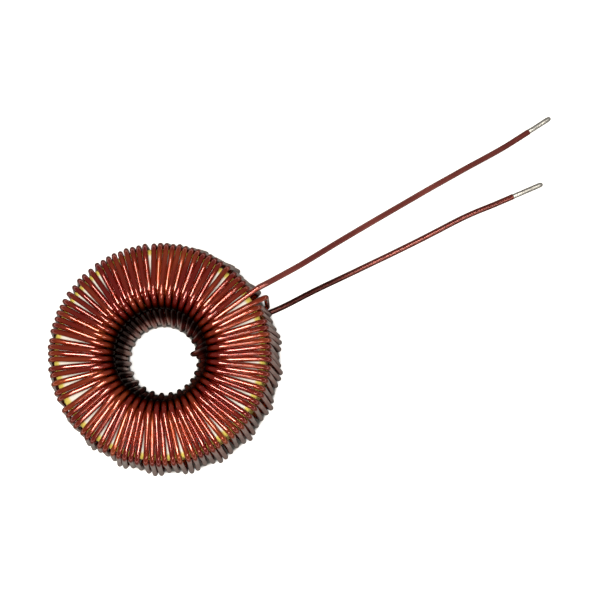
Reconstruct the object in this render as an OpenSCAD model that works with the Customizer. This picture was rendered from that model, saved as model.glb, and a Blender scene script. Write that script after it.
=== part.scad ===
// Toroidal inductor: a painted iron powder ring wound with one enamelled copper wire,
// both wire ends left long, stripped and tinned.
// Units are millimetres. +Z is the ring's axis, +X the way the two leads run.
// The origin is on the ring's axis in the plane that the winding rests on.

/* [Core] */
// Outer diameter of the bare ring
core_od = 25.4; // [23:0.1:30]
// Hole diameter of the bare ring
core_hole_d = 14.5; // [13.8:0.1:16]
// Height of the bare ring
core_h = 11.1; // [8:0.1:14]
// Rounding of the ring's four edges
core_edge_r = 0.7; // [0.4:0.05:1.2]

/* [Winding] */
// Diameter over the enamel
wire_d = 0.65; // [0.5:0.01:0.68]
// Pairs of turns, one turn beside the core and one riding over it
turn_pairs = 47; // [30:1:47]
// How far a riding turn lies above its neighbours at the hole
ride_rise = 0.7; // [0.68:0.01:0.8]
// How far the riding turns lean into the hole at its lower end
bore_lean = 1.3; // [0.9:0.05:1.3]
// How much more they lean at one side of the hole, and less at the other
bore_lean_uneven = 0.45; // [0:0.05:0.45]
// Further lean of every second riding turn
bore_lean_more = 0.5; // [0.5:0.05:0.6]
// Further lean of one stray turn
stray_lean = 1.1; // [0:0.05:1.2]
// How far the riding turns hang over the hole's upper edge
rim_hang = 0.4; // [0:0.05:0.4]
// Slack of the turns round the core's outer edges
outer_slack = 0.08; // [0.05:0.01:0.2]
// How far the turns stand off the core at the foot of its outer wall
wall_lean = 1; // [0:0.05:1.1]
// How much further the turns stand off in bunches
bunch_lean = 0.24; // [0:0.02:0.24]
// How far, in degrees, the turns of a bunch draw together there
bunch_pull = 0.5; // [0:0.05:0.7]
// How far, in degrees, the turns slant further on their way down to an even spread at the foot
wall_slant = 0.8; // [0:0.1:2]
// How far the loose first turn stands out at the top
loose_slack = 1.25; // [0:0.05:1.3]

/* [Leads] */
// How far the upper lead reaches beyond the winding
lead_top_reach = 41; // [30:0.5:60]
// How far the lower lead reaches beyond the winding
lead_bottom_reach = 35; // [30:0.5:60]
// Tinned length of the upper lead
tin_top_len = 3.4; // [2:0.1:6]
// Tinned length of the lower lead
tin_bottom_len = 4.2; // [2:0.1:6]
// Diameter of a tinned end
tin_d = 0.62; // [0.44:0.01:0.7]
// Chamfer at the cut end of a tinned end
tin_chamfer = 0.12; // [0.05:0.01:0.2]

/* [Hidden] */

// gap between wire and core
wire_clear = 0.04;
// height that the slanting bends of the riding turns need under them
sole = 0.02;

wire_r = wire_d / 2;
turns = 2 * turn_pairs + 1;
core_ro = core_od / 2;
core_ri = core_hole_d / 2;

// heights: riding turns touch the table, the core stands on two layers of wire
core_z0 = sole + wire_d + ride_rise + wire_clear;
// middle of a wire that lies on the table
lying_z = wire_r + sole / 2;
core_z1 = core_z0 + core_h;

// bend radius of a turn round a core edge, measured to the middle of the wire
bend_r = core_edge_r + wire_r + wire_clear;
// middle of a turn beside the core in the hole
hug_r = core_ri - wire_r - wire_clear;
// number of the stray turn, and the side to which the hole is narrowed most
stray_turn = 4;
narrow_az = -28;
// turns in a bunch
bunch = 4.7;
// the slant on the outer wall grows over this many turns
slant_turns = 4;
// the lean in the hole starts at this share of the core's height
knee = 0.55;

// azimuths in degrees: turns follow each other clockwise seen from above
in_start = 0.3;
out_start = 0.2;
out_end = -354.2;
in_pitch = 360 / (turns + 1);
// places where neighbouring turns stand apart on the outside: after which turn, by how much
apart = [
    [0, -0.4], [1, -0.1], [2, 1.3], [9, 1.0], [12, 1.2], [14, 1.0], [16, 1.4],
    [21, 1.2], [22, 1.0], [28, 1.2], [30, 1.0], [34, 1.2], [39, 1.0], [41, 1.2],
    [44, 1.6], [48, 3.0], [50, 1.6], [51, 1.2], [53, 1.6], [57, 1.6], [63, 1.0],
    [64, 1.0], [65, 1.0], [67, 1.0], [68, 1.2], [77, 1.4], [89, 1.2], [90, 1.2]
];
function total(v, k = 0) = k < len(v) ? v[k] + total(v, k + 1) : 0;
function apart_before(j) = total([for (g = apart) if (g[0] < j) g[1]]);
out_pitch = (out_start - out_end - apart_before(turns)) / turns;

function in_az(j) = in_start - in_pitch * j;
function out_az(j) = out_start - out_pitch * j - apart_before(j);
function rides(j) = j % 2 == 0;
function rise(j) = rides(j) ? ride_rise : 0;
function lean(j) = rides(j) ? bore_lean + bore_lean_uneven * cos(in_az(j) - narrow_az)
    + (j % 4 == 2 ? bore_lean_more : 0) + (j == stray_turn ? stray_lean : 0) : 0;
function slack(j) = outer_slack * (1 + 0.6 * sin(137 * j));
function hang(j) = rides(j) ? rim_hang : 0;
function stand_off(j) = wall_lean + bunch_lean * cos(360 * j / bunch);
function even_az(j) = out_start + (out_end - out_start) * j / turns;
function foot_az(j) = even_az(j) - wall_slant * min(1, j / slant_turns)
    + (j < 3 ? 0 : bunch_pull * sin(360 * j / bunch));

function polar(r, az, z) = [r * cos(az), r * sin(az), z];
// two points carry a turn round a core edge: an eighth of the bend from the face and from the wall
near_face = 90 / 4;
near_wall = 90 - near_face;
function edge_point(r, z, dr, dz, rho, a, az) = let (k = rho / cos(near_face))
    polar(r + dr * k * sin(a), az, z + dz * k * cos(a));

// the points of one pass up the hole, from the lower edge to the upper one
function bore_points(j) = let (
        az = in_az(j),
        rho = bend_r + rise(j),
        r = core_ri + core_edge_r
    ) [
        polar(r, az, core_z0 + core_edge_r - rho),
        edge_point(r - lean(j), core_z0 + core_edge_r, -1, -1, rho, near_face, az),
        edge_point(r - lean(j), core_z0 + core_edge_r, -1, -1, rho, near_wall, az),
        polar(hug_r - rise(j), az, core_z0 + knee * core_h),
        edge_point(r - hang(j), core_z1 - core_edge_r, -1, 1, rho, near_wall, az),
        edge_point(r - hang(j), core_z1 - core_edge_r, -1, 1, rho, near_face, az)
    ];
// the points of one pass down the outer wall, from the upper edge to the lower one
function wall_points(j) = let (
        az = out_az(j),
        rho = bend_r + slack(j),
        low = bend_r + (j < 2 ? 0 : slack(j)),
        r = core_ro - core_edge_r + (j == 0 ? loose_slack : 0),
        foot_r = core_ro - core_edge_r + stand_off(j)
    ) [
        edge_point(r, core_z1 - core_edge_r, 1, 1, rho, near_face, az),
        edge_point(r, core_z1 - core_edge_r, 1, 1, rho, near_wall, az),
        edge_point(foot_r, core_z0 + core_edge_r, 1, -1, low, near_wall, foot_az(j)),
        edge_point(foot_r, core_z0 + core_edge_r, 1, -1, low, near_face, foot_az(j))
    ];

// where the wire comes in under the ring and where it goes out over it
exit_r = core_ro + wire_d + 0.75;
exit_bottom = polar(exit_r, -2.2, lying_z);
exit_top = polar(exit_r, out_az(turns), core_z1 + wire_clear + wire_r + 0.1);

winding_path = [
    exit_bottom,
    for (j = [0:turns - 1]) each concat(bore_points(j), wall_points(j)),
    each bore_points(turns),
    exit_top
];

function unit(v) = v / norm(v);
// the ways the wire points at its two exits, so that winding and leads meet face to face
way_in = unit(exit_bottom - bore_points(0)[0]);
way_out = unit(exit_top - bore_points(turns)[5]);

// a tube swept along a path: rings of points, kept square to the path
function along(p, k, first) = let (n = len(p) - 1)
    k == 0 ? first :
    k == n ? unit(p[n] - p[n - 1]) :
    unit(unit(p[k + 1] - p[k]) + unit(p[k] - p[k - 1]));
function stretch(p, k, t) = k == 0 || k == len(p) - 1 ? 1 : 1 / max(0.8, unit(p[k + 1] - p[k]) * t);
function ring(p, first, side, k, r, n) = let (
        t = along(p, k, first),
        b = unit(side - (side * t) * t),
        a = cross(t, b),
        s = stretch(p, k, t)
    ) [for (i = [0:n - 1]) p[k] + r * (s * cos(360 * i / n) * a + sin(360 * i / n) * b)];
function tube_faces(m, n) = concat(
    [for (k = [0:m - 2]) for (i = [0:n - 1]) [k * n + i, k * n + (i + 1) % n, (k + 1) * n + (i + 1) % n]],
    [for (k = [0:m - 2]) for (i = [0:n - 1]) [k * n + i, (k + 1) * n + (i + 1) % n, (k + 1) * n + i]],
    [for (i = [1:n - 2]) [0, i + 1, i]],
    [for (i = [1:n - 2]) [(m - 1) * n, (m - 1) * n + i, (m - 1) * n + i + 1]]
);

module tube(p, first, sides, r, n) {
    polyhedron(
        points = [for (k = [0:len(p) - 1]) each ring(p, first, sides[k], k, r, n)],
        faces = tube_faces(len(p), n),
        convexity = 10
    );
}

// routes of the leads: share of the reach, sideways in mm, and for the upper one the share of height left
top_route = [
    [0, 0, 1], [0.03, 0, 0.99], [0.08, 0.08, 0.95], [0.14, 0.22, 0.89], [0.2, 0.45, 0.83],
    [0.27, 0.75, 0.75], [0.34, 1.02, 0.67], [0.41, 1.28, 0.59], [0.48, 1.52, 0.51], [0.55, 1.76, 0.43],
    [0.62, 2, 0.35], [0.69, 2.2, 0.27], [0.76, 2.4, 0.19], [0.83, 2.56, 0.11], [0.88, 2.7, 0.045],
    [0.93, 2.87, 0], [1, 3.11, 0]
];
bottom_route = [
    [0, 0], [0.02, -0.07], [0.05, -0.15], [0.1, -0.2], [0.15, -0.2],
    [0.21, -0.25], [0.27, -0.34], [0.34, -0.45], [0.41, -0.54], [0.48, -0.64],
    [0.55, -0.72], [0.62, -0.78], [0.7, -0.81], [0.78, -0.83], [0.85, -0.96],
    [0.92, -1.22], [1, -1.45]
];
// one more point on the smooth curve between each two, straight in the last stretch
function between(p, k) = k == 0 || k >= len(p) - 2 ? (p[k] + p[k + 1]) / 2 :
    (9 * (p[k] + p[k + 1]) - p[k - 1] - p[k + 2]) / 16;
function smooth(p) = [
    for (k = [0:len(p) - 2]) each [p[k], between(p, k)],
    p[len(p) - 1]
];
lead_top_path = smooth([for (q = top_route)
    [exit_top[0] + q[0] * lead_top_reach, exit_top[1] + q[1], lying_z + q[2] * (exit_top[2] - lying_z)]]);
lead_bottom_path = smooth([for (q = bottom_route)
    [exit_bottom[0] + q[0] * lead_bottom_reach, exit_bottom[1] + q[1], lying_z]]);

module core() {
    e = core_edge_r;
    color([0.9, 0.84, 0.25])
        rotate_extrude($fn = 120)
            polygon(concat(
                [for (a = [180:22.5:270]) [core_ri + e + e * cos(a), core_z0 + e + e * sin(a)]],
                [for (a = [270:22.5:360]) [core_ro - e + e * cos(a), core_z0 + e + e * sin(a)]],
                [for (a = [0:22.5:90]) [core_ro - e + e * cos(a), core_z1 - e + e * sin(a)]],
                [for (a = [90:22.5:180]) [core_ri + e + e * cos(a), core_z1 - e + e * sin(a)]]
            ));
}

// every turn of the winding is part of one wire, so the whole winding is one solid
module winding() {
    across = [for (q = winding_path) unit([-q[1], q[0], 0])];
    color([0.5, 0.16, 0.1])
        tube(winding_path, -way_in, across, wire_r, 6);
}

module lead(path, first) {
    color([0.45, 0.16, 0.11])
        tube(path, first, [for (q = path) [0, 1, 0]], wire_r, 8);
}

module lead_top() {
    lead(lead_top_path, way_out);
}

module lead_bottom() {
    lead(lead_bottom_path, way_in);
}

// a tinned end is a plain round pin that lies level, in line with the last of its lead
module tinned_end(path, length) {
    n = len(path) - 1;
    d = path[n] - path[n - 1];
    color([0.72, 0.72, 0.7])
        translate(path[n])
            rotate([0, 90, atan2(d[1], d[0])])
                rotate_extrude($fn = 48)
                    polygon([
                        [0, 0],
                        [tin_d / 2, 0],
                        [tin_d / 2, length - tin_chamfer],
                        [tin_d / 2 - tin_chamfer, length],
                        [0, length]
                    ]);
}

module tinned_end_top() {
    tinned_end(lead_top_path, tin_top_len);
}

module tinned_end_bottom() {
    tinned_end(lead_bottom_path, tin_bottom_len);
}

core();
winding();
lead_top();
lead_bottom();
tinned_end_top();
tinned_end_bottom();
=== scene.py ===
"""Looks of a toroidal inductor: painted ring core, enamelled copper winding, two free leads with tinned ends.

Lengths in the property groups are metres, as everywhere in the scene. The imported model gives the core's size
and place, and the wire's path is worked out round it turn by turn.
"""

import math

import bpy
from mathutils import Matrix, Vector, noise


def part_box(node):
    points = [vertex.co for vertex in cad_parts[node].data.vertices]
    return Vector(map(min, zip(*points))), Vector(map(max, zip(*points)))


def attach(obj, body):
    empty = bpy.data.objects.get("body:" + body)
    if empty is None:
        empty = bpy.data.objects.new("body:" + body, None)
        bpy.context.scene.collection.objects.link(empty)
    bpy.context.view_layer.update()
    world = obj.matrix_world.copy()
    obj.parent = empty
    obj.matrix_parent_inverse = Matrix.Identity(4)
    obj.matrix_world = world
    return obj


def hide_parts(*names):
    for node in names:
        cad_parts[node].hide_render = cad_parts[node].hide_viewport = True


bl_info = {
    "name": "Toroidal inductor",
    "version": (1, 0, 0),
    "blender": (4, 5, 0),
    "location": "View3D > Sidebar > Inductor",
    "description": "Winds, paints and lights a toroidal inductor round its packed frame",
    "category": "Object",
}

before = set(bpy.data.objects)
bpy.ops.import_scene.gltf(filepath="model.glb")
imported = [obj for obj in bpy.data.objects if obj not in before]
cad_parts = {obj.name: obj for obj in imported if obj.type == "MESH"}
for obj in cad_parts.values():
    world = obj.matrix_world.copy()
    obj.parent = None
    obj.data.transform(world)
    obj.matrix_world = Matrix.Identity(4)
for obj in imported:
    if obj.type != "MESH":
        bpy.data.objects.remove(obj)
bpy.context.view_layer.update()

MM = 0.001
CORE_LOW, CORE_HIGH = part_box("core")

# Side of the photograph's square frame, and how far the leads are turned in it.
PHOTO_SIDE = 600
LEAD_TURN = math.radians(28)
# A tinned end's round tip: shares of the taper left and of the radius there.
TIP = ((0.5, 0.92), (0.2, 0.72), (0.06, 0.52), (0.0, 0.3))
# Middle of the free hole on the table, which the leaning turns narrow from one side.
HOLE_SHIFT = (-0.57 * MM, 0.31 * MM, 0)
# The way from the camera across the ring to its far side; in the hole, the table mirrors dark on the near half
# of it, a painted shade.
FAR_SIDE = (-0.4, 0.92, 0)


# Property groups


class WireSettings(bpy.types.PropertyGroup):
    """Sizes of the wire and of its turns round the core."""

    diameter: bpy.props.FloatProperty(
        name="Wire diameter", description="Diameter over the enamel",
        default=0.65 * MM, unit="LENGTH", precision=5)
    turn_pairs: bpy.props.IntProperty(
        name="Turn pairs", description="Pairs of turns, one beside the core and one riding over it",
        default=47, min=10, max=47)
    core_hole: bpy.props.FloatProperty(
        name="Core hole", description="Hole diameter of the bare core",
        default=14.5 * MM, unit="LENGTH", precision=5)
    core_edge: bpy.props.FloatProperty(
        name="Core edge", description="Rounding of the core's edges",
        default=0.7 * MM, unit="LENGTH", precision=5)
    clearance: bpy.props.FloatProperty(
        name="Clearance", description="Gap between wire and core",
        default=0.04 * MM, unit="LENGTH", precision=5)
    ride_rise: bpy.props.FloatProperty(
        name="Ride", description="How far a riding turn lies above its neighbours at the hole",
        default=0.7 * MM, unit="LENGTH", precision=5)
    lean: bpy.props.FloatProperty(
        name="Lean", description="How far the riding turns lean into the hole at its lower end",
        default=1.42 * MM, unit="LENGTH", precision=5)
    lean_uneven: bpy.props.FloatProperty(
        name="Uneven lean", description="How much more they lean at one side of the hole",
        default=0.45 * MM, unit="LENGTH", precision=5)
    lean_more: bpy.props.FloatProperty(
        name="More lean", description="Further lean of every second riding turn",
        default=0.38 * MM, unit="LENGTH", precision=5)
    stray_lean: bpy.props.FloatProperty(
        name="Stray lean", description="Further lean of the stray turn",
        default=1.1 * MM, unit="LENGTH", precision=5)
    stray_turn: bpy.props.IntProperty(
        name="Stray turn", description="Number of the turn that strays into the hole", default=4, min=0)
    rim_hang: bpy.props.FloatProperty(
        name="Rim hang", description="How far the riding turns hang over the hole's upper edge",
        default=0.4 * MM, unit="LENGTH", precision=5)
    slack: bpy.props.FloatProperty(
        name="Outer slack", description="Slack of the turns round the core's outer edges",
        default=0.08 * MM, unit="LENGTH", precision=5)
    wall_lean: bpy.props.FloatProperty(
        name="Wall lean", description="How far the turns stand off the core at the foot of its outer wall",
        default=1.0 * MM, unit="LENGTH", precision=5)
    bunch_lean: bpy.props.FloatProperty(
        name="Bunch lean", description="How much further the turns stand off in bunches",
        default=0.24 * MM, unit="LENGTH", precision=5)
    bunch_pull: bpy.props.FloatProperty(
        name="Bunch pull", description="How far the turns of a bunch draw together there",
        default=math.radians(0.5), subtype="ANGLE", precision=4)
    slant: bpy.props.FloatProperty(
        name="Wall slant", description="How far the turns slant further on their way down to an even spread",
        default=math.radians(0.8), subtype="ANGLE", precision=4)
    loose: bpy.props.FloatProperty(
        name="Loose turn", description="How far the first turn stands out at the top",
        default=1.25 * MM, unit="LENGTH", precision=5)
    waver: bpy.props.FloatProperty(
        name="Waver", description="How far a hand-wound turn strays sideways on the top face",
        default=0.05 * MM, unit="LENGTH", precision=5)
    sides: bpy.props.IntProperty(
        name="Sides", description="Sides of the swept wire", default=14, min=8, max=20)


class LeadSettings(bpy.types.PropertyGroup):
    """Sizes of the two free leads."""

    top_reach: bpy.props.FloatProperty(
        name="Upper reach", description="How far the upper lead reaches beyond the winding",
        default=41 * MM, unit="LENGTH")
    bottom_reach: bpy.props.FloatProperty(
        name="Lower reach", description="How far the lower lead reaches beyond the winding",
        default=35 * MM, unit="LENGTH")
    diameter: bpy.props.FloatProperty(
        name="Lead diameter", description="Diameter of a lead with its thicker coat of enamel",
        default=0.73 * MM, unit="LENGTH", precision=5)
    tin_diameter: bpy.props.FloatProperty(
        name="Tinned diameter", description="Diameter of a tinned end",
        default=0.66 * MM, unit="LENGTH", precision=5)
    top_tin: bpy.props.FloatProperty(
        name="Upper tinned length", description="Tinned length of the upper lead",
        default=3.4 * MM, unit="LENGTH")
    bottom_tin: bpy.props.FloatProperty(
        name="Lower tinned length", description="Tinned length of the lower lead",
        default=4.2 * MM, unit="LENGTH")
    # Painted shadow of the ring on the lower lead, and how far it reaches.
    painted_shadow_reach: bpy.props.FloatProperty(
        name="Dark stretch", description="How far the lower lead is darkened beside the ring",
        default=16 * MM, unit="LENGTH")
    taper: bpy.props.FloatProperty(
        name="Taper", description="How far a tinned end narrows to its cut tip",
        default=0.5 * MM, unit="LENGTH", precision=5)


class FinishSettings(bpy.types.PropertyGroup):
    """Colours of the finishes."""

    enamel_dark: bpy.props.FloatVectorProperty(
        name="Dark enamel", description="Enamel where it lies thick",
        subtype="COLOR", default=(0.245, 0.008, 0.002), min=0, max=1)
    enamel_light: bpy.props.FloatVectorProperty(
        name="Light enamel", description="Enamel where the copper shines through",
        subtype="COLOR", default=(0.55, 0.095, 0.016), min=0, max=1)
    lead_dark: bpy.props.FloatVectorProperty(
        name="Dark lead", description="Enamel of the leads where it lies thick",
        subtype="COLOR", default=(0.26, 0.05, 0.042), min=0, max=1)
    lead_light: bpy.props.FloatVectorProperty(
        name="Light lead", description="Enamel of the leads where the copper shines through",
        subtype="COLOR", default=(0.54, 0.14, 0.11), min=0, max=1)
    core_side: bpy.props.FloatVectorProperty(
        name="Core side paint", description="Paint of the core's sides",
        subtype="COLOR", default=(0.85, 0.72, 0.14), min=0, max=1)
    core_face: bpy.props.FloatVectorProperty(
        name="Core face paint", description="Paint of the core's top face",
        subtype="COLOR", default=(0.97, 0.97, 0.92), min=0, max=1)
    tin: bpy.props.FloatVectorProperty(
        name="Tin", description="Solder on the stripped ends",
        subtype="COLOR", default=(0.86, 0.86, 0.83), min=0, max=1)


class StageSettings(bpy.types.PropertyGroup):
    """Camera, lamps and floor."""

    distance: bpy.props.FloatProperty(
        name="Camera distance", description="From the camera to the table, along its axis",
        default=185 * MM, unit="LENGTH")
    tilt: bpy.props.FloatProperty(
        name="Camera tilt", description="Camera's lean from straight above",
        default=math.radians(6.54), subtype="ANGLE")
    focal: bpy.props.FloatProperty(
        name="Focal length", description="In pixels of the photograph", default=1440)
    aim_right: bpy.props.FloatProperty(
        name="Aim right", description="Aim point, to the right of the ring's axis",
        default=16.74 * MM, unit="LENGTH")
    aim_up: bpy.props.FloatProperty(
        name="Aim up", description="Aim point, above the ring's axis in the picture",
        default=7.87 * MM, unit="LENGTH")
    floor: bpy.props.FloatVectorProperty(
        name="Floor", description="Colour of the table",
        subtype="COLOR", default=(0.85, 0.85, 0.85), min=0, max=1)
    key_power: bpy.props.FloatProperty(
        name="Key lamp", description="Power of the soft lamp above", default=1.6, unit="POWER")
    rim_power: bpy.props.FloatProperty(
        name="Rim lamp", description="Power of the small lamp behind the ring", default=0.45, unit="POWER")
    lead_power: bpy.props.FloatProperty(
        name="Lead lamp", description="Power of the small lamp beyond the leads", default=0.25, unit="POWER")
    fill_power: bpy.props.FloatProperty(
        name="Side lamp", description="Power of the strip lamp", default=0.5, unit="POWER")
    lamp_colour: bpy.props.FloatVectorProperty(
        name="Lamp colour", description="Colour of every lamp",
        subtype="COLOR", default=(1, 0.92, 0.8), min=0, max=1)
    world_light: bpy.props.FloatProperty(
        name="World", description="Strength of the even light from all round", default=0.12)


# Shader maths


class Value:
    """A shader socket that adds a Math node for each operator used on it."""

    def __init__(self, shader, socket):
        self.shader, self.socket = shader, socket

    def _math(self, operation, first, second):
        node = self.shader.add("ShaderNodeMath", {"operation": operation}, {0: first, 1: second})
        return Value(self.shader, node.outputs[0])

    def __add__(self, other):
        return self._math("ADD", self, other)

    def __radd__(self, other):
        return self._math("ADD", other, self)

    def __sub__(self, other):
        return self._math("SUBTRACT", self, other)

    def __rsub__(self, other):
        return self._math("SUBTRACT", other, self)

    def __mul__(self, other):
        return self._math("MULTIPLY", self, other)

    def __rmul__(self, other):
        return self._math("MULTIPLY", other, self)

    def step(self, low, high):
        """0 below low, 1 above high, smooth between them."""
        node = self.shader.add(
            "ShaderNodeMapRange", {"interpolation_type": "SMOOTHSTEP"},
            {"Value": self, "From Min": low, "From Max": high})
        return Value(self.shader, node.outputs["Result"])


class Shader:
    """Builds one node material."""

    def __init__(self, name):
        self.material = bpy.data.materials.new(name)
        self.material.use_nodes = True
        self.tree = self.material.node_tree
        self.tree.nodes.clear()
        self.output = self.add("ShaderNodeOutputMaterial")

    def add(self, kind, settings=None, sockets=None):
        """Adds a node: its settings first, then the value or link of each socket."""
        node = self.tree.nodes.new(kind)
        for key, value in (settings or {}).items():
            setattr(node, key, value)
        for key, value in (sockets or {}).items():
            self.feed(node.inputs[key], value)
        return node

    def feed(self, socket, value):
        """Links a socket or sets its value."""
        if isinstance(value, Value):
            self.tree.links.new(value.socket, socket)
        elif isinstance(value, bpy.types.NodeSocket):
            self.tree.links.new(value, socket)
        else:
            socket.default_value = value

    def value(self, kind, output, settings=None, sockets=None):
        """A node's output, ready for an expression."""
        return Value(self, self.add(kind, settings, sockets).outputs[output])

    def place(self):
        """Object coordinates."""
        return self.add("ShaderNodeTexCoord").outputs["Object"]

    def from_axis(self):
        """Distance from the ring's axis, and height."""
        apart = self.add("ShaderNodeSeparateXYZ", None, {"Vector": self.place()}).outputs
        flat = self.add("ShaderNodeCombineXYZ", None, {"X": apart["X"], "Y": apart["Y"]})
        radius = self.value("ShaderNodeVectorMath", "Value", {"operation": "LENGTH"}, {0: flat.outputs[0]})
        return radius, Value(self, apart["Z"])

    def attribute(self, name):
        """A number kept on the piece's points."""
        return self.value("ShaderNodeAttribute", "Fac", {"attribute_name": name})

    def noise(self, vector, scale, detail=2.0, rough=0.5):
        """Cloudy noise between 0 and 1."""
        return self.value(
            "ShaderNodeTexNoise", "Fac", None,
            {"Vector": vector, "Scale": scale, "Detail": detail, "Roughness": rough})

    def mix(self, factor, first, second):
        """A colour between two colours."""
        node = self.add("ShaderNodeMix", {"data_type": "RGBA"})
        self.feed(node.inputs["Factor"], factor)
        self.feed(node.inputs[6], first)
        self.feed(node.inputs[7], second)
        return node.outputs[2]

    def bump(self, height, strength, distance):
        """A normal from a height in metres."""
        node = self.add(
            "ShaderNodeBump", None, {"Height": height, "Strength": strength, "Distance": distance})
        return node.outputs["Normal"]

    def surface(self, sockets, shade=None):
        """A Principled surface on the output, mixed towards matt black by a painted-shade factor."""
        shown = self.add("ShaderNodeBsdfPrincipled", None, sockets).outputs[0]
        if shade is not None:
            black = self.add("ShaderNodeBsdfDiffuse", None, {"Color": (0, 0, 0, 1)}).outputs[0]
            shown = self.add("ShaderNodeMixShader", None, {0: shade, 1: shown, 2: black}).outputs[0]
        self.feed(self.output.inputs["Surface"], shown)
        return self.material


def rgba(colour):
    """A property's colour with full alpha."""
    return (*colour, 1.0)


def enamel(s, tones, metal, coat, shade, rough=0.12, grain=0.05):
    """Red-brown enamel over copper: darker and lighter from turn to turn, with rubbed stretches."""
    place = s.place()
    turn, along = s.attribute("turn"), s.attribute("along")
    lane = s.add("ShaderNodeCombineXYZ", None, {"X": turn * 3.7, "Y": along * 60.0}).outputs[0]
    by_turn = s.noise(lane, 1.0, 2.0, 0.6)
    cloud = s.noise(place, 260.0, 3.0, 0.6)
    speck = s.noise(place, 1900.0, 2.0, 0.5)
    light = (by_turn * 0.65 + cloud * 0.35).step(0.4, 0.78)
    rubbed = (cloud * 0.6 + speck * 0.4).step(0.56, 0.7)
    sockets = {
        "Base Color": s.mix(light, rgba(tones[0]), rgba(tones[1])),
        "Metallic": metal,
        "Roughness": rough * (1.0 + rubbed + by_turn * 0.8),
        "Coat Weight": coat,
        "Coat Roughness": 0.05,
        "Coat IOR": 1.65,
    }
    if grain:
        sockets["Normal"] = s.bump(speck + cloud * 2.0, grain, 0.02 * MM)
    return s.surface(sockets, shade)


def winding_finish(finish):
    """The wound wire: painted shade turns it towards matt black down in the hole, and its coat is worn on the
    outer wall.
    """
    s = Shader("Enamelled winding")
    radius, height = s.from_axis()
    # Painted shade: in the hole, from about 5 mm up to the core's top, the wire is mixed 0.9 towards matt
    # black.
    inside = 1.0 - radius.step(6.4 * MM, 7.4 * MM)
    painted_shade_band = height.step(3.4 * MM, 5.2 * MM) * (1.0 - height.step(CORE_HIGH[2], CORE_HIGH[2] + 1.2 * MM))
    worn = radius.step(12.2 * MM, 13.6 * MM) * (1.0 - height.step(7 * MM, 11 * MM))
    tones = finish.enamel_dark, finish.enamel_light
    return enamel(s, tones, 0.55 + worn * 0.35, 1.0 - worn * 0.7, inside * painted_shade_band * 0.9)


def lead_finish(name, finish, painted_shadow_reach):
    """A lead's smooth enamel. With a painted shadow reach it is mixed towards matt black: a little all along,
    and most beside the ring, where painted shadow stands in for the ring's.
    """
    s = Shader(name)
    # Painted shadow: mixed 0.8 towards black beside the ring, easing to 0.34 beyond the reach.
    shade = 0.8 - s.attribute("along").step(0.5 * painted_shadow_reach, painted_shadow_reach) * 0.46 if painted_shadow_reach else None
    return enamel(s, (finish.lead_dark, finish.lead_light), 0.6, 0.6, shade, rough=0.09, grain=0)


def core_finish(finish):
    """Powder paint: one pale face, the rest yellow, with a soft uneven border and a fine grain."""
    s = Shader("Core paint")
    place = s.place()
    radius, height = s.from_axis()
    cloud = s.noise(place, 350.0, 3.0, 0.6)
    grain = s.noise(place, 2600.0, 2.0, 0.6)
    rim = radius + (cloud - 0.5) * (0.6 * MM)
    flat_top = height.step(CORE_HIGH[2] - 0.5 * MM, CORE_HIGH[2] - 0.1 * MM)
    face = flat_top * (1.0 - rim.step(CORE_HIGH[0] - 1.0 * MM, CORE_HIGH[0] - 0.5 * MM))
    side = s.mix(cloud, rgba(finish.core_side), rgba([0.86 * c for c in finish.core_side]))
    pale = s.mix(cloud, rgba(finish.core_face), rgba([0.9 * c for c in finish.core_face]))
    return s.surface({
        "Base Color": s.mix(face, side, pale),
        "Roughness": 0.42 + grain * 0.2,
        "Specular IOR Level": 0.4,
        "Normal": s.bump(grain + cloud, 0.25, 0.04 * MM),
    })


def tin_finish(finish):
    """Dipped solder: bright metal with dull patches and soft runs."""
    s = Shader("Tinned copper")
    place = s.place()
    cloud = s.noise(place, 900.0, 3.0, 0.6)
    fine = s.noise(place, 5200.0, 2.0, 0.6)
    dull = cloud.step(0.4, 0.66)
    colour = s.mix(dull, rgba(finish.tin), rgba([0.6 * c for c in finish.tin]))
    return s.surface({
        "Base Color": colour,
        "Metallic": 0.9,
        "Roughness": 0.26 + dull * 0.2 + fine * 0.1,
        "Normal": s.bump(cloud * 2.0 + fine, 0.3, 0.04 * MM),
    })


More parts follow.
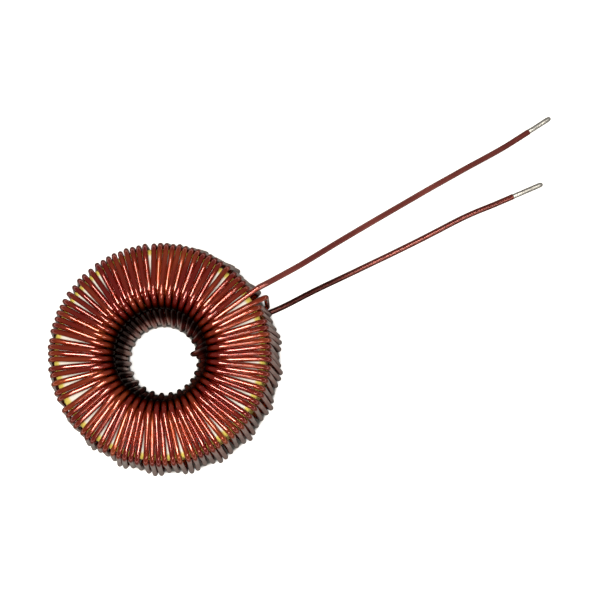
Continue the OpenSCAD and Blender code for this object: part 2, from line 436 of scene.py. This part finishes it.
def floor_finish(stage):
    """A white table that keeps the shadows on it and reads as white where nothing shades it.

    Under the ring the camera sees it painted dark, a painted contact shadow; what it bounces and mirrors near
    the ring is painted darker too, most of all under it and in the near half of its hole.
    """
    s = Shader("Table")
    rays = s.add("ShaderNodeLightPath")
    distance, _ = s.from_axis()
    shift = s.add("ShaderNodeVectorMath", {"operation": "SUBTRACT"}, {0: s.place(), 1: HOLE_SHIFT})
    middle = shift.outputs[0]
    from_hole = s.value("ShaderNodeVectorMath", "Value", {"operation": "LENGTH"}, {0: middle})
    across = s.value("ShaderNodeVectorMath", "Value", {"operation": "DOT_PRODUCT"}, {0: middle, 1: FAR_SIDE})
    beside = from_hole.step(4.2 * MM, 4.5 * MM)
    under = beside * (1.0 - distance.step(13.9 * MM, 14.4 * MM))
    away = distance.step(6 * MM, 16 * MM)
    near = 1.0 - distance.step(18 * MM, 30 * MM)
    off = distance.step(60 * MM, 120 * MM)

    def paper(share):
        colour = rgba([share * c for c in stage.floor])
        return s.add("ShaderNodeBsdfDiffuse", None, {"Color": colour}).outputs[0]

    def blend(factor, first, second):
        return s.add("ShaderNodeMixShader", None, {0: factor, 1: first, 2: second}).outputs[0]

    def glow(strength):
        return s.add("ShaderNodeEmission", None, {"Color": (1, 1, 1, 1), "Strength": strength}).outputs[0]

    lit = s.add("ShaderNodeAddShader", None, {0: paper(1.0), 1: glow(0.7)}).outputs[0]
    white = blend(distance.step(100 * MM, 250 * MM), lit, glow(1.0))
    # Painted contact shadow: the camera sees dark paper under the ring.
    shown = blend(under, white, paper(0.2))
    # Painted shade: near the ring the table bounces and mirrors dim paper, and the near half of its hole
    # mirrors almost black.
    bounced = blend(away, paper(0.04), paper(1.0))
    around = blend(off, blend(near, paper(0.13), paper(0.3)), white)
    hole = blend(across.step(-0.5 * MM, 1.5 * MM), paper(0.02), paper(0.5))
    mirrored = blend(beside, hole, blend(away, paper(0.03), around))
    unseen = blend(rays.outputs["Is Glossy Ray"], bounced, mirrored)
    s.feed(s.output.inputs["Surface"], blend(rays.outputs["Is Camera Ray"], unseen, shown))
    return s.material


# The wire's path

# Places where neighbouring turns stand apart on the outside: after which turn, by how many degrees.
APART = [
    (0, -0.4), (1, -0.1), (2, 1.3), (9, 1.0), (12, 1.2), (14, 1.0), (16, 1.4),
    (21, 1.2), (22, 1.0), (28, 1.2), (30, 1.0), (34, 1.2), (39, 1.0), (41, 1.2),
    (44, 1.6), (48, 3.0), (50, 1.6), (51, 1.2), (53, 1.6), (57, 1.6), (63, 1.0),
    (64, 1.0), (65, 1.0), (67, 1.0), (68, 1.2), (77, 1.4), (89, 1.2), (90, 1.2),
]
IN_START, OUT_START, OUT_END, EXIT_LOW = 0.3, 0.2, -354.2, -2.2
SOLE = 0.02 * MM
# Side to which the hole is narrowed most, turns in a bunch, and where the lean in the hole starts.
NARROW_AZ, BUNCH, KNEE = -28, 4.7, 0.55
# Turns over which the slant on the outer wall grows.
SLANT_TURNS = 4


def polar(radius, degrees, z):
    """A point from its distance to the axis, azimuth and height."""
    a = math.radians(degrees)
    return Vector((radius * math.cos(a), radius * math.sin(a), z))


class WirePath:
    """Works out where the wire runs: up the hole, out over the top, down outside and back underneath."""

    BEND_STEPS = 6

    def __init__(self, wire):
        self.wire = wire
        self.radius = wire.diameter / 2
        self.turns = 2 * wire.turn_pairs + 1
        self.outer, self.inner = CORE_HIGH[0], wire.core_hole / 2
        self.low, self.high = CORE_LOW[2], CORE_HIGH[2]
        self.bend = wire.core_edge + self.radius + wire.clearance
        spread = OUT_START - OUT_END - self.apart_before(self.turns)
        self.in_pitch, self.out_pitch = 360 / (self.turns + 1), spread / self.turns
        self.lying = self.radius + SOLE / 2

    @staticmethod
    def apart_before(turn):
        return sum(degrees for after, degrees in APART if after < turn)

    def in_az(self, turn):
        return IN_START - self.in_pitch * turn

    def out_az(self, turn):
        return OUT_START - self.out_pitch * turn - self.apart_before(turn)

    def rise(self, turn):
        return self.wire.ride_rise if turn % 2 == 0 else 0.0

    def lean(self, turn):
        if turn % 2:
            return 0.0
        more = self.wire.lean_more if turn % 4 == 2 else 0
        stray = self.wire.stray_lean if turn == self.wire.stray_turn else 0
        uneven = self.wire.lean_uneven * math.cos(math.radians(self.in_az(turn) - NARROW_AZ))
        return self.wire.lean + uneven + more + stray

    def slack(self, turn):
        return self.wire.slack * (1 + 0.6 * math.sin(math.radians(137 * turn)))

    def stand_off(self, turn):
        return self.wire.wall_lean + self.wire.bunch_lean * math.cos(math.radians(360 * turn / BUNCH))

    def foot_az(self, turn):
        pull = 0 if turn < 3 else math.degrees(self.wire.bunch_pull)
        slant = math.degrees(self.wire.slant) * min(1, turn / SLANT_TURNS)
        even = OUT_START + (OUT_END - OUT_START) * turn / self.turns
        return even - slant + pull * math.sin(math.radians(360 * turn / BUNCH))

    def bend_points(self, radius, z, out, up, rho, degrees, rising):
        """A round bend over a core edge, from the wall to the face or back."""
        steps = [90 * (k + 0.5) / self.BEND_STEPS for k in range(self.BEND_STEPS)]
        points = []
        for a in (steps if rising else steps[::-1]):
            r = radius + out * rho * math.sin(math.radians(a))
            h = z + up * rho * math.cos(math.radians(a))
            points.append(polar(r, degrees, h))
        return points

    def bore(self, turn):
        """Up the hole: foot under the core's edge, lower bend, leaning run, upper bend."""
        az, rho, edge = self.in_az(turn), self.bend + self.rise(turn), self.wire.core_edge
        r, low, high = self.inner + edge, self.low + edge, self.high - edge
        lean, hang = self.lean(turn), 0 if turn % 2 else self.wire.rim_hang
        foot = [polar(r + 0.1 * MM, az, low - rho)]
        run = []
        for k in range(1, 9):
            share = k / 9
            below, above = max(0.0, 1 - share / KNEE), max(0.0, (share - KNEE) / (1 - KNEE))
            inward = lean * below ** 1.1 + hang * above ** 1.1
            run.append(polar(r - rho - inward, az, low + share * (high - low)))
        return (foot + self.bend_points(r - lean, low, -1, -1, rho, az, True) + run
                + self.bend_points(r - hang, high, -1, 1, rho, az, False))

    def wall(self, turn):
        """Down the outside: upper bend, straight run, lower bend."""
        az, foot_az, edge = self.out_az(turn), self.foot_az(turn), self.wire.core_edge
        rho, low_rho = self.bend + self.slack(turn), self.bend + (0 if turn < 2 else self.slack(turn))
        r, low, high = self.outer - edge, self.low + edge, self.high - edge
        top_r, foot_r = r + (self.wire.loose if turn == 0 else 0), r + self.stand_off(turn)
        start, end = top_r + rho, foot_r + low_rho
        run = []
        for k in range(1, 4):
            share = k / 4
            sway = 0.15 * math.sin(math.radians(201 * turn)) * math.sin(math.pi * share)
            sway += (foot_az - az) * share
            run.append(polar(start + (end - start) * share, az + sway, high + share * (low - high)))
        return (self.bend_points(top_r, high, 1, 1, rho, az, True) + run
                + self.bend_points(foot_r, low, 1, -1, low_rho, foot_az, False))

    def exits(self):
        """Where the wire comes in under the ring and where it goes out over it."""
        radius = self.outer + self.wire.diameter + 0.75 * MM
        over = self.high + self.wire.clearance + self.radius + 0.1 * MM
        return (polar(radius, EXIT_LOW, self.lying), polar(radius, self.out_az(self.turns), over))

    def crossing(self, start, end, turn, waver):
        """Points between two bends across a face, straying a little sideways."""
        across = (end - start).cross(Vector((0, 0, 1))).normalized()
        points = []
        for k in range(1, 4):
            share = k / 4
            stray = waver * noise.noise(Vector((turn * 1.31, share * 1.7, 4.2)))
            points.append(start.lerp(end, share) + across * stray)
        return points

    def points(self):
        """The whole wire: each point with the number of its turn."""
        first, last = self.exits()
        path = [(first, 0)]
        for turn in range(self.turns + 1):
            rise = self.bore(turn)
            path += [(p, turn) for p in self.crossing(path[-1][0], rise[0], turn + 0.5, 0.0)]
            path += [(p, turn) for p in rise]
            if turn < self.turns:
                fall = self.wall(turn)
                path += [(p, turn) for p in self.crossing(rise[-1], fall[0], turn, self.wire.waver)]
                path += [(p, turn) for p in fall]
        path += [(p, self.turns) for p in self.crossing(path[-1][0], last, self.turns, 0.0)]
        path.append((last, self.turns))
        return path


# Routes of the leads: share of the reach, sideways in mm, and for the upper one the height left.
TOP_ROUTE = [
    (0, 0, 1), (0.03, 0, 0.99), (0.08, 0.08, 0.95), (0.14, 0.22, 0.89), (0.2, 0.45, 0.83),
    (0.27, 0.75, 0.75), (0.34, 1.02, 0.67), (0.41, 1.28, 0.59), (0.48, 1.52, 0.51), (0.55, 1.76, 0.43),
    (0.62, 2, 0.35), (0.69, 2.2, 0.27), (0.76, 2.4, 0.19), (0.83, 2.56, 0.11), (0.88, 2.7, 0.045),
    (0.93, 2.87, 0), (1, 3.11, 0),
]
BOTTOM_ROUTE = [
    (0, 0), (0.02, -0.07), (0.05, -0.15), (0.1, -0.2), (0.15, -0.2),
    (0.21, -0.25), (0.27, -0.34), (0.34, -0.45), (0.41, -0.54), (0.48, -0.64),
    (0.55, -0.72), (0.62, -0.78), (0.7, -0.81), (0.78, -0.83), (0.85, -0.96),
    (0.92, -1.22), (1, -1.45),
]


def smooth(points):
    """One more point on the smooth curve between each two, straight in the last stretch."""
    result = []
    for k in range(len(points) - 1):
        a, b = points[k], points[k + 1]
        if k == 0 or k >= len(points) - 2:
            middle = (a + b) / 2
        else:
            middle = (9 * (a + b) - points[k - 1] - points[k + 2]) / 16
        result += [a, middle]
    return result + [points[-1]]


def lead_paths(path, leads):
    """The two leads' points, from their exits to their tinned ends."""
    low, high = path.exits()
    drop = high.z - path.lying
    top = [Vector((high.x + s * leads.top_reach, high.y + side * MM, path.lying + left * drop))
           for s, side, left in TOP_ROUTE]
    bottom = [Vector((low.x + s * leads.bottom_reach, low.y + side * MM, path.lying))
              for s, side in BOTTOM_ROUTE]
    return smooth(smooth(top)), smooth(smooth(bottom))


# Making pieces


def sweep_tree():
    """A node tree that sweeps a round wire along a line of edges."""
    tree = bpy.data.node_groups.new("Sweep wire", "GeometryNodeTree")
    face = tree.interface
    face.new_socket("Line", in_out="INPUT", socket_type="NodeSocketGeometry")
    diameter = face.new_socket("Diameter", in_out="INPUT", socket_type="NodeSocketFloat")
    sides = face.new_socket("Sides", in_out="INPUT", socket_type="NodeSocketInt")
    material = face.new_socket("Finish", in_out="INPUT", socket_type="NodeSocketMaterial")
    face.new_socket("Wire", in_out="OUTPUT", socket_type="NodeSocketGeometry")
    add, link = tree.nodes.new, tree.links.new
    start, end = add("NodeGroupInput"), add("NodeGroupOutput")
    curve = add("GeometryNodeMeshToCurve")
    circle = add("GeometryNodeCurvePrimitiveCircle")
    tube = add("GeometryNodeCurveToMesh")
    half = add("ShaderNodeMath")
    half.operation = "MULTIPLY"
    half.inputs[1].default_value = 0.5
    shade = add("GeometryNodeSetShadeSmooth")
    real = add("GeometryNodeRealizeInstances")
    coat = add("GeometryNodeSetMaterial")
    link(start.outputs["Line"], curve.inputs["Mesh"])
    link(start.outputs["Diameter"], half.inputs[0])
    link(half.outputs[0], circle.inputs["Radius"])
    link(start.outputs["Sides"], circle.inputs["Resolution"])
    link(curve.outputs["Curve"], tube.inputs["Curve"])
    link(circle.outputs["Curve"], tube.inputs["Profile Curve"])
    tube.inputs["Fill Caps"].default_value = True
    link(tube.outputs["Mesh"], shade.inputs["Geometry"])
    link(shade.outputs["Geometry"], real.inputs["Geometry"])
    link(real.outputs["Geometry"], coat.inputs["Geometry"])
    link(start.outputs["Finish"], coat.inputs["Material"])
    link(coat.outputs["Geometry"], end.inputs["Wire"])
    return tree, {"diameter": diameter.identifier, "sides": sides.identifier, "finish": material.identifier}


def swept_wire(name, points, turns, diameter, sides, material):
    """A plain mesh of a wire along the points, which keep their turn and their distance along the wire."""
    mesh = bpy.data.meshes.new(name)
    mesh.from_pydata([tuple(p) for p in points], [(k, k + 1) for k in range(len(points) - 1)], [])
    along = [0.0]
    for a, b in zip(points, points[1:]):
        along.append(along[-1] + (b - a).length)
    for key, numbers in (("turn", turns), ("along", along)):
        mesh.attributes.new(key, "FLOAT", "POINT").data.foreach_set("value", [float(n) for n in numbers])
    piece = bpy.data.objects.new(name, mesh)
    bpy.context.collection.objects.link(piece)
    tree, keys = sweep_tree()
    sweep = piece.modifiers.new("Sweep", "NODES")
    sweep.node_group = tree
    sweep[keys["diameter"]] = diameter
    sweep[keys["sides"]] = sides
    sweep[keys["finish"]] = material
    ready = piece.evaluated_get(bpy.context.evaluated_depsgraph_get())
    made = bpy.data.meshes.new_from_object(ready)
    piece.modifiers.remove(sweep)
    piece.data = made
    if not made.polygons:
        raise RuntimeError(name + " has no faces")
    return piece


def tinned_end(name, start, way, length, diameter, taper, material):
    """A solder-dipped wire end: a rod with soft runs in its skin that narrows to a cut tip."""
    rings, sides, radius = 28, 20, diameter / 2
    profile = [(k / (rings - 1) * (length - taper), 1.0) for k in range(rings)]
    profile += [(length - taper * back, share) for back, share in TIP]
    turned = Matrix.Translation(start) @ way.to_track_quat("Z", "Y").to_matrix().to_4x4()
    points, faces = [], []
    for z, share in profile:
        for k in range(sides):
            a = 2 * math.pi * k / sides
            x, y = math.cos(a), math.sin(a)
            run = noise.noise(Vector((x * 1.2, y * 1.2, z / radius * 0.6 + start.y * 900)))
            r = radius * share * (0.965 + 0.06 * run)
            points.append(turned @ Vector((r * x, r * y, z)))
    for row in range(len(profile) - 1):
        for k in range(sides):
            a, b = row * sides + k, row * sides + (k + 1) % sides
            faces.append((a, b, b + sides, a + sides))
    faces.append(tuple(range(sides))[::-1])
    faces.append(tuple((len(profile) - 1) * sides + k for k in range(sides)))
    mesh = bpy.data.meshes.new(name)
    mesh.from_pydata([tuple(p) for p in points], [], faces)
    mesh.materials.append(material)
    for face in mesh.polygons[:-2]:
        face.use_smooth = True
    piece = bpy.data.objects.new(name, mesh)
    bpy.context.collection.objects.link(piece)
    return piece


# Operators


class INDUCTOR_OT_core(bpy.types.Operator):
    """Paints the ring core"""

    bl_idname = "inductor.core"
    bl_label = "Paint core"

    def execute(self, context):
        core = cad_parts["core"]
        core.data.materials.clear()
        core.data.materials.append(core_finish(context.scene.inductor_finish))
        return {"FINISHED"}


class INDUCTOR_OT_winding(bpy.types.Operator):
    """Winds the wire round the core"""

    bl_idname = "inductor.winding"
    bl_label = "Wind wire"

    def execute(self, context):
        wire, finish = context.scene.inductor_wire, context.scene.inductor_finish
        path = WirePath(wire).points()
        winding = swept_wire(
            "wound_wire", [p for p, _ in path], [t for _, t in path], wire.diameter, wire.sides,
            winding_finish(finish))
        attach(winding, "root")
        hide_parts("winding")
        return {"FINISHED"}


class INDUCTOR_OT_leads(bpy.types.Operator):
    """Lays the two free leads and their tinned ends"""

    bl_idname = "inductor.leads"
    bl_label = "Lay leads"

    def execute(self, context):
        scene = context.scene
        wire, leads = scene.inductor_wire, scene.inductor_leads
        path = WirePath(wire)
        routes = lead_paths(path, leads)
        finish = scene.inductor_finish
        upper = lead_finish("Upper lead enamel", finish, 0.0)
        lower = lead_finish("Lower lead enamel", finish, leads.painted_shadow_reach)
        tin = tin_finish(finish)
        for side, points, tinned, enamel in (
                ("top", routes[0], leads.top_tin, upper), ("bottom", routes[1], leads.bottom_tin, lower)):
            way = (points[-1] - points[-2]).normalized()
            end = tinned_end(
                "tinned_tip_" + side, points[-1], way, tinned, leads.tin_diameter, leads.taper, tin)
            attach(end, "root")
            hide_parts("tinned_end_" + side)
            lead = swept_wire(
                "free_lead_" + side, points, [200.0 + len(side)] * len(points), leads.diameter, 16, enamel)
            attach(lead, "root")
            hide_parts("lead_" + side)
            length = sum((b - a).length for a, b in zip(points, points[1:]))
            tuple(points[0])
            [tuple(p) for p in points]
        return {"FINISHED"}


class INDUCTOR_OT_stage(bpy.types.Operator):
    """Sets the table, the lamps and the camera"""

    bl_idname = "inductor.stage"
    bl_label = "Set stage"

    def execute(self, context):
        scene, stage = context.scene, context.scene.inductor_stage
        scene.view_settings.view_transform = "Standard"
        self.lay_table(stage)
        self.light_world(scene, stage.world_light)
        right = Vector((math.cos(LEAD_TURN), -math.sin(LEAD_TURN), 0))
        up = Vector((math.sin(LEAD_TURN), math.cos(LEAD_TURN), 0))
        aim = right * stage.aim_right + up * stage.aim_up
        above = Vector((0, 0, 0.5))
        lamps = (
            ("Key", above - right * 0.04 - up * 0.07, (0.15, 0.14), stage.key_power),
            ("Rim", above - right * 0.09 + up * 0.06, (0.1, 0.06), stage.rim_power),
            ("Lead", above + right * 0.095, (0.06, 0.06), stage.lead_power),
            ("Side", above * 0.7 + right * 0.15 - up * 0.3, (0.3, 0.06), stage.fill_power),
        )
        for name, offset, size, power in lamps:
            self.hang_lamp(name, offset, aim, size, power, stage.lamp_colour)
        self.place_camera(scene, stage, aim, right, up)
        return {"FINISHED"}

    @staticmethod
    def lay_table(stage):
        half = 1.5
        corners = [(-half, -half, 0), (half, -half, 0), (half, half, 0), (-half, half, 0)]
        mesh = bpy.data.meshes.new("table")
        mesh.from_pydata(corners, [], [(0, 1, 2, 3)])
        mesh.materials.append(floor_finish(stage))
        table = bpy.data.objects.new("table", mesh)
        bpy.context.collection.objects.link(table)

    @staticmethod
    def light_world(scene, strength):
        world = scene.world or bpy.data.worlds.new("World")
        scene.world = world
        world.use_nodes = True
        back = world.node_tree.nodes["Background"]
        back.inputs["Color"].default_value = (1, 1, 1, 1)
        back.inputs["Strength"].default_value = strength

    @staticmethod
    def hang_lamp(name, offset, aim, size, power, colour):
        lamp = bpy.data.lights.new(name, "AREA")
        lamp.shape = "RECTANGLE"
        lamp.size, lamp.size_y = size
        lamp.energy = power
        lamp.color = colour
        hung = bpy.data.objects.new(name, lamp)
        hung.location = aim + offset
        hung.rotation_euler = (-offset).to_track_quat("-Z", "Y").to_euler()
        bpy.context.collection.objects.link(hung)

    @staticmethod
    def place_camera(scene, stage, aim, right, up):
        back = (Vector((0, 0, 1)) * math.cos(stage.tilt) - up * math.sin(stage.tilt)).normalized()
        top = back.cross(right).normalized()
        camera = bpy.data.cameras.new("Camera")
        camera.sensor_width = 36
        camera.lens = stage.focal / PHOTO_SIDE * camera.sensor_width
        camera.clip_start = 0.01
        held = bpy.data.objects.new("Camera", camera)
        spot = aim + back * stage.distance
        held.matrix_world = Matrix((
            (right.x, top.x, back.x, spot.x),
            (right.y, top.y, back.y, spot.y),
            (right.z, top.z, back.z, spot.z),
            (0, 0, 0, 1)))
        bpy.context.collection.objects.link(held)
        scene.camera = held


class INDUCTOR_PT_panel(bpy.types.Panel):
    """Lists the inductor's steps"""

    bl_idname = "INDUCTOR_PT_panel"
    bl_label = "Toroidal inductor"
    bl_space_type = "VIEW_3D"
    bl_region_type = "UI"
    bl_category = "Inductor"

    def draw(self, context):
        layout = self.layout
        for step in STEPS:
            layout.operator(step.bl_idname)
        for group in GROUPS:
            box = layout.box()
            for key in group[1].__annotations__:
                box.prop(getattr(context.scene, group[0]), key)


GROUPS = (
    ("inductor_wire", WireSettings),
    ("inductor_leads", LeadSettings),
    ("inductor_finish", FinishSettings),
    ("inductor_stage", StageSettings),
)
STEPS = (INDUCTOR_OT_stage, INDUCTOR_OT_core, INDUCTOR_OT_winding, INDUCTOR_OT_leads)


def register():
    """Makes the settings, the steps and the panel known to Blender."""
    for name, group in GROUPS:
        bpy.utils.register_class(group)
        setattr(bpy.types.Scene, name, bpy.props.PointerProperty(type=group))
    for step in STEPS:
        bpy.utils.register_class(step)
    bpy.utils.register_class(INDUCTOR_PT_panel)


def unregister():
    """Takes them out again."""
    bpy.utils.unregister_class(INDUCTOR_PT_panel)
    for step in reversed(STEPS):
        bpy.utils.unregister_class(step)
    for name, group in reversed(GROUPS):
        delattr(bpy.types.Scene, name)
        bpy.utils.unregister_class(group)


def main():
    """Builds the whole scene."""
    register()
    bpy.ops.inductor.stage()
    bpy.ops.inductor.leads()
    bpy.ops.inductor.core()
    bpy.ops.inductor.winding()


if __name__ == "__main__":
    main()
